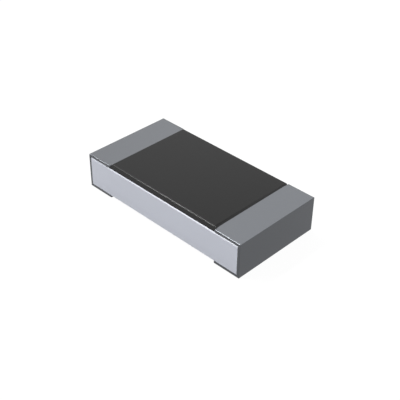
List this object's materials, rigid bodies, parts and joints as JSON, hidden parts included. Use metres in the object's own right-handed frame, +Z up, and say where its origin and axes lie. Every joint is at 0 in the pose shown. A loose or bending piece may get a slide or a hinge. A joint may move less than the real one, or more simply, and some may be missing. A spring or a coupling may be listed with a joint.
{
  "type": "smd chip resistor",
  "caption": "Flat rectangular chip resistor: ceramic block, dark top overcoat and wrap-around metal solder terminals at both ends.",
  "frame": {"origin": "centre of the underside of the terminals, on the board surface", "axes": "+X along the chip from one terminal to the other, +Y across it, +Z up from the board"},
  "size_m": [0.0032, 0.0016, 0.0006],
  "materials": {
    "alumina": "matte",
    "overcoat": "satin",
    "tin": "satin",
    "nickel": "satin",
    "edge_metal": "matte",
    "printed_silver": "matte",
    "resistive_oxide": "matte",
    "passivation_glass": "gloss"
  },
  "bodies": {
    "root": {"alumina_substrate": "alumina", "protective_overcoat": "overcoat", "tin_plating_left": "tin", "tin_plating_right": "tin", "nickel_barrier_left": "nickel", "nickel_barrier_right": "nickel", "end_electrode_left": "edge_metal", "end_electrode_right": "edge_metal", "top_electrode_left": "printed_silver", "top_electrode_right": "printed_silver", "bottom_electrode_left": "printed_silver", "bottom_electrode_right": "printed_silver", "resistive_film": "resistive_oxide", "glass_passivation": "passivation_glass"}
  },
  "joints": []
}
